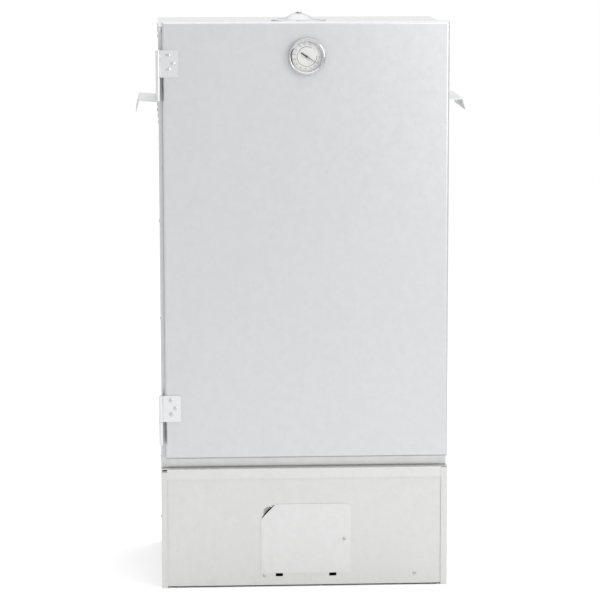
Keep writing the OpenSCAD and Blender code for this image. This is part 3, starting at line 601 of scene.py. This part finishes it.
def add_screws(node, turn, axis, head, countersunk=False):
    """Cross-head screws in place of a CAD node's plain ones; head is the height above its seat in mm."""
    heads = bmesh.new()
    cutters = bmesh.new()
    for low, high in islands(node):
        middle = (low + high) / 2
        others = [i for i in range(3) if i != axis]
        radius = (high - low)[others[0]] / 2 / MM
        length = (high - low)[axis] / MM - head
        outward = (turn @ Vector((0, 0, 1)))[axis]
        middle[axis] = (high if outward > 0 else low)[axis] - outward * head * MM
        where = Matrix.Translation(middle) @ turn
        if countersunk:
            crown = [(SHANK, -0.9), (radius, 0), (radius, head - 0.12), (radius - 0.15, head)]
        else:
            crown = rounded([((SHANK, 0), 0), ((radius, 0), 0.15), ((radius, head * 0.6), 0.5),
                             ((radius * 0.55, head), 1.6), ((0.3, head), 0)], 5)
        stem = [(0, -length), (1.1, -length)] + thread(SHANK, 0.5 - length, -1.0)
        turned(heads, stem + [tuple(p) for p in crown] + [(0, head)], where, 32)
        cross_recess(cutters, where, radius * 0.62, head, 0.85)
    piece = build(node, heads)
    combined(piece, cutters, "DIFFERENCE")
    piece.data.set_sharp_from_angle(angle=math.radians(35))


def add_rivets(node):
    """Domed blind rivets, each with a dimple in its head and a swollen tail."""
    shape = bmesh.new()
    for low, high in islands(node):
        size = high - low
        middle = (low + high) / 2
        across = abs(size.y - size.z) < 0.1 * MM
        axis = 0 if across else 1
        turn = FRONT if not across else RIGHT if middle.x > 0 else LEFT
        radius = size.z / 2 / MM
        depth = size[axis] / MM - 1
        outward = (turn @ Vector((0, 0, 1)))[axis]
        middle[axis] = (high if outward > 0 else low)[axis] - outward * MM
        crown = rounded([((radius, 0), 0), ((radius, 0.3), 0.12), ((radius * 0.62, 1.0), 1.1),
                         ((0.95, 1.0), 0.15), ((0.8, 0.62), 0), ((0, 0.62), 0)], 4)
        if depth > 1.5:
            tail = rounded([((0, -depth), 0), ((2.0, -depth), 0.6), ((2.0, 1 - depth), 0.15),
                            ((SHANK, 1 - depth), 0)], 4)
        else:
            tail = [(0, -depth), (SHANK, -depth)]
        turned(shape, [tuple(p) for p in tail] + [(SHANK, 0)] + [tuple(p) for p in crown],
               Matrix.Translation(middle) @ turn, 28)
    build(node, shape)


# ---- Thermometer ----

# The pointer's turn at rest
NEEDLE_TURN = math.radians(-33)
# Where the dial's scale starts, clockwise from the top, and how far it goes, in degrees; and its numbered steps
DIAL_START = 93
DIAL_SWEEP = 280
DIAL_STEPS = 12
# Radii of the dial's plain ring and of the numbers' middles, and the height of the ink, in mm
DIAL_RING = 13.75
DIAL_NUMBERS = 17.3
INK = 0.04


def add_bezel():
    """Rolled chrome ring with an inner slope down to the window."""
    low, high, middle = span("thermometer_bezel")
    radius = (high.x - low.x) / 2 / MM
    back = (high.y - low.y) / MM
    profile = rounded([
        ((radius - 1.0, back), 0.2), ((radius - 1.0, 4.4), 0.3), ((radius, 3.9), 0.6),
        ((radius - 0.1, 0.9), 1.4), ((radius - 2.0, 0), 1.2), ((radius - 4.4, 1.7), 0.35),
        ((radius - 4.4, 2.1), 0.1), ((radius - 1.6, 2.1), 0.1), ((radius - 1.6, back), 0.15)], 5)
    shape = bmesh.new()
    turned(shape, [tuple(p) for p in profile], at(middle.x, low.y, middle.z) @ BACK, 96, closed=True)
    build("thermometer_bezel", shape)


def add_lens():
    """Slightly domed window."""
    low, high, middle = span("thermometer_lens")
    radius = (high.x - low.x) / 2 / MM
    rise = 0.7
    ball = (radius * radius + rise * rise) / (2 * rise)
    dome = [(r, ball - rise - math.sqrt(ball * ball - r * r)) for r in (radius * i / 12 for i in range(12, -1, -1))]
    shape = bmesh.new()
    turned(shape, [(0, 1.2), (radius, 1.2)] + dome, at(middle.x, low.y, middle.z) @ BACK, 64)
    build("thermometer_lens", shape, 50)


def add_dial():
    """Face with its printed ring, marks and numbers standing a hair above the enamel."""
    low, high, middle = span("thermometer_dial")
    radius = (high.x - low.x) / 2 / MM
    front = at(middle.x, low.y, middle.z) @ FRONT
    shape = bmesh.new()
    turned(shape, [(1.1, 0), (radius, 0), (radius, -0.6), (1.1, -0.6)], front, 72, closed=True)
    plain = len(shape.faces)
    first, last = math.radians(DIAL_START - 8), math.radians(DIAL_START + DIAL_SWEEP + 18)
    ink_arc(shape, front, DIAL_RING - 0.34, DIAL_RING + 0.34, first, last)
    for i in range(DIAL_STEPS * 5 + 1):
        turn = math.radians(DIAL_START + DIAL_SWEEP * i / (DIAL_STEPS * 5))
        inner, width = (19.6, 0.22) if i % 5 == 0 else (20.3, 0.12)
        mark = front @ Matrix.Rotation(-turn, 4, "Z")
        prism(shape, [(-width, inner), (width, inner), (width, 21.3), (-width, 21.3)], mark, 0, INK)
    for i in range(DIAL_STEPS + 1):
        turn = math.radians(DIAL_START + DIAL_SWEEP * i / DIAL_STEPS)
        out = DIAL_NUMBERS * MM
        number = front @ Matrix.Translation((out * math.sin(turn), out * math.cos(turn), 0))
        add_number(shape, str(i * 10), number, 2.9)
    bmesh.ops.remove_doubles(shape, verts=shape.verts, dist=0.001 * MM)
    # Faces of the numbers with all corners in one line join the face across their longest edge
    slivers = [face for face in shape.faces if face.calc_area() < 1e-8 * MM * MM]
    longest = [max(face.edges, key=lambda edge: edge.calc_length()) for face in slivers]
    bmesh.ops.dissolve_edges(shape, edges=longest, use_verts=False)
    piece = build("thermometer_dial", shape)
    piece.data.materials.append(MATERIALS["dial_ink"])
    for face_of_ink in piece.data.polygons[plain:]:
        face_of_ink.material_index = 1


def ink_arc(shape, where, inner, outer, first, last, steps=72):
    """Adds a thin raised arc, measured clockwise from the top."""
    rings = []
    for i in range(steps + 1):
        turn = first + (last - first) * i / steps
        rings.append([shape.verts.new(where @ (Vector((r * math.sin(turn), r * math.cos(turn), z)) * MM))
                      for r, z in ((inner, 0), (outer, 0), (outer, INK), (inner, INK))])
    skin(shape, rings)
    shape.faces.new(rings[0])
    shape.faces.new(rings[-1])


def add_number(shape, text, where, height):
    """Adds a thin raised number centred on where."""
    words = bpy.data.curves.new("number", "FONT")
    words.body = text
    words.size = height * MM
    words.extrude = INK / 2 * MM
    words.resolution_u = 2
    words.align_x = "CENTER"
    words.align_y = "CENTER"
    holder = bpy.data.objects.new("number", words)
    bpy.context.scene.collection.objects.link(holder)
    graph = bpy.context.evaluated_depsgraph_get()
    flat = bpy.data.meshes.new_from_object(holder.evaluated_get(graph), depsgraph=graph)
    flat.transform(where @ Matrix.Translation((0, 0, INK / 2 * MM)))
    shape.from_mesh(flat)
    bpy.data.objects.remove(holder)
    bpy.data.curves.remove(words)
    bpy.data.meshes.remove(flat)


def add_needle():
    """Pointer with a thick short tail, a long thin tip and a domed hub."""
    low, high, _ = span("thermometer_needle")
    _, _, middle = span("thermometer_dial")
    front = at(middle.x, low.y, middle.z) @ FRONT
    blade = rounded([((-10, -0.95), 0.6), ((-1, -0.95), 0.5), ((3, -0.5), 1.0), ((18, -0.2), 0.1),
                     ((18, 0.2), 0.1), ((3, 0.5), 1.0), ((-1, 0.95), 0.5), ((-10, 0.95), 0.6)], 3)
    shape = bmesh.new()
    prism(shape, [tuple(p) for p in blade], front @ Matrix.Rotation(NEEDLE_TURN, 4, "Z"), -0.8, -0.4)
    depth = (high.y - low.y) / MM
    hub = rounded([((0, -depth), 0), ((1, -depth), 0), ((1, -1.15), 0), ((1.6, -1.15), 0.1),
                   ((1.6, -0.4), 0.25), ((1.1, 0), 0.3), ((0, 0), 0)], 4)
    turned(shape, [tuple(p) for p in hub], front, 32)
    build("thermometer_needle", shape)


def add_probe():
    """Threaded stem with a round-ended probe, hollow where the pointer's spindle turns."""
    low, high, middle = span("thermometer_probe")
    reach = (high.y - low.y) / MM
    tip = rounded([((3, 14), 0), ((3, reach), 2.9), ((0, reach), 0)], 6)
    profile = [(0, 7), (1.05, 7), (1.05, 0), (4.7, 0)] + thread(5, 0.4, 14, 0.9) + [tuple(p) for p in tip]
    shape = bmesh.new()
    turned(shape, profile, at(middle.x, low.y, middle.z) @ BACK, 36)
    build("thermometer_probe", shape)


# ---- Vent ----

# The tab's turn at rest, in degrees, and the radii of the holes and of their ring, in mm
VENT_TURN = 10
VENT_HOLE = 5.5
VENT_HOLE_RING = 30.5


def add_vent():
    """Pressed disc: a domed middle, a rolled rim, four holes and a finger tab."""
    _, high, _ = span("vent_disc")
    _, _, middle = span("vent_pivot")
    _, roof, _ = span("cabinet_roof")
    radius = (high.x - middle.x) / MM
    brim = 3
    rise = (high.z - roof.z) / MM - brim
    ball = (22 * 22 + rise * rise) / (2 * rise)

    def dome(r, thick):
        return (r, brim + rise - ball + math.sqrt((ball - thick) ** 2 - r * r))

    outside = rounded([((radius, 0.3), 0), ((radius, brim), 1.3), ((22.2, brim), 3.5), (dome(19, 0), 0)], 8)
    outside += [dome(r, 0) for r in (17, 14, 11, 8, 5, 2.6)]
    inside = [dome(r, 1) for r in (2.6, 5, 8, 11, 14, 17)]
    inside += rounded([(dome(18, 1), 0), ((21.6, brim - 1), 4), ((radius - 1, brim - 1), 0.4),
                       ((radius - 1, 0.3), 0)], 8)
    shape = bmesh.new()
    turned(shape, [tuple(p) for p in outside + inside], at(middle.x, middle.y, roof.z), 96, closed=True)
    piece = build("vent_disc", shape)
    turn = at(middle.x, middle.y, roof.z) @ Matrix.Rotation(math.radians(VENT_TURN), 4, "Z")
    tab = bmesh.new()
    outline = rounded([((-12, -radius + 3), 0), ((-12, -radius - 8), 3), ((12, -radius - 8), 3),
                       ((12, -radius + 3), 0)])
    prism(tab, [tuple(p) for p in outline], turn, brim - 1, brim)
    combined(piece, tab, "UNION")
    holes = bmesh.new()
    for i in range(4):
        hole = turn @ Matrix.Rotation(math.radians(90 * i + 45), 4, "Z") @ at(VENT_HOLE_RING * MM, 0, 0)
        turned(holes, [(0, -1), (VENT_HOLE, -1), (VENT_HOLE, 6), (0, 6)], hole, 40)
    combined(piece, holes, "DIFFERENCE")
    round_edges(piece, 0.2 * MM)


# ---- Wire and tube ----

# How far an S-hook leans at rest, in degrees, with its weight under its bar
HOOK_LEAN = -10.4


def add_grate(node):
    """Round-cornered wire frame with thinner wires welded between its front and back."""
    low, high, _ = span(node)
    wire, thin, bend = 2.5 * MM, 1.5 * MM, 14 * MM
    left, right, near, far = low.x + wire, high.x - wire, low.y + wire, high.y - wire
    z = low.z + wire
    corners = [((left, near, z), bend), ((right, near, z), bend), ((right, far, z), bend), ((left, far, z), bend)]
    shape = bmesh.new()
    tube(shape, rounded(corners, 8), wire, closed=True, sides=20)
    count = 18
    for i in range(1, count + 1):
        x = left + (right - left) * i / (count + 1)
        tube(shape, [(x, near, z + 0.8 * MM), (x, far, z + 0.8 * MM)], thin, sides=12)
    build(node, shape)


def add_hook(node, bar):
    """An S-hook over its bar, drawn out to a point at its lower end."""
    _, _, rest = span(bar)
    _, _, middle = span(node)
    turn, drop = 6.6, 72
    over = [(-turn * math.cos(math.pi * i / 12), turn * math.sin(math.pi * i / 12)) for i in range(13)]
    under = [(2 * turn - turn * math.cos(math.pi * i / 12), -drop - turn * math.sin(math.pi * i / 12))
             for i in range(13)]
    point = [(3 * turn, -drop + 18 * i / 6) for i in range(1, 7)]
    path = [(-turn, -6)] + over + under + point
    shares = [1] * (len(path) - 6) + [0.95, 0.8, 0.62, 0.45, 0.3, 0.2]
    lean = Matrix.Translation((middle.x, rest.y, rest.z)) @ Matrix.Rotation(math.radians(HOOK_LEAN), 4, "X")
    shape = bmesh.new()
    tube(shape, [lean @ (Vector((0, across, up)) * MM) for across, up in path], 2 * MM, shares=shares)
    build(node, shape)


def add_element():
    """One tube bent back and forth, with a terminal pin in each end."""
    low, high, _ = span("heating_element")
    thick, gap = 4.25 * MM, 30 * MM
    z = low.z + thick
    front = low.y + gap / 2 + thick
    turn_back = 160 * MM + span("base_front_panel")[0].y
    xs = [low.x + thick + i * gap for i in range(4)]
    end = high.y - 10 * MM
    half = [(-math.cos(math.pi * i / 12) * gap / 2, math.sin(math.pi * i / 12) * gap / 2) for i in range(13)]
    path = [(xs[0], end, z)]
    path += [((xs[0] + xs[1]) / 2 + across, front - out, z) for across, out in half]
    path += [((xs[1] + xs[2]) / 2 + across, turn_back + out, z) for across, out in half]
    path += [((xs[2] + xs[3]) / 2 + across, front - out, z) for across, out in half]
    path += [(xs[3], end, z)]
    shape = bmesh.new()
    tube(shape, path, thick, sides=24)
    for x in (xs[0], xs[3]):
        tube(shape, [(x, end, z), (x, high.y - 1.5 * MM, z)], 1.5 * MM, sides=16)
    build("heating_element", shape)


def add_leads():
    """Insulated leads, bent up from their crimped ends and across to the inlet."""
    shape = bmesh.new()
    for low, high in islands("element_leads"):
        outside = low.x if low.x < 0 else high.x
        sign = 1 if low.x < 0 else -1
        x = outside + sign * 2.4 * MM
        y = low.y + 4 * MM
        foot = low.z + 2.4 * MM
        top = high.z - 1.6 * MM
        inner = (high.x if low.x < 0 else low.x) - sign * 1.6 * MM
        tube(shape, rounded([((x, y, foot), 0), ((x, y, top), 7 * MM), ((inner, y, top), 0)], 6), 1.6 * MM)
        tube(shape, [(x, low.y + 2.4 * MM, foot), (x, high.y - 2.4 * MM, foot)], 2.4 * MM)
    build("element_leads", shape)


# ---- Everything together ----

MATERIALS = make_materials()
for node, cad in NODES.items():
    cad.data.materials.clear()
    cad.data.materials.append(finish_of(node))

add_bezel()
add_lens()
add_dial()
add_needle()
add_probe()
add_vent()
add_grate("grate_lower")
add_grate("grate_upper")
add_element()
add_leads()
add_screws("door_leaf_screws", FRONT, 1, 1.4)
add_screws("cabinet_leaf_screws", LEFT, 0, 1.4)
add_screws("inlet_screws", BACK, 1, 1.0, countersunk=True)
for node in ("base_rivets", "hatch_rivet", "cabinet_rivets", "handle_rivets"):
    add_rivets(node)
for node, bar in (("hook_1", "hook_bar_front"), ("hook_2", "hook_bar_front"),
                  ("hook_3", "hook_bar_rear"), ("hook_4", "hook_bar_rear")):
    add_hook(node, bar)
made = {name for piece in bpy.data.objects for name in piece.get("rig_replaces", [])}
for node in NODES:
    if node not in made:
        refined(node)

add_floor()
add_dark_card("dark_left", (-0.9, 0.85, 0.7), 90, (0.9, 1.7))
add_dark_card("dark_right", (1.2, -0.5, 0.66), -74, (0.32, 1.3))
add_lights()
add_camera()
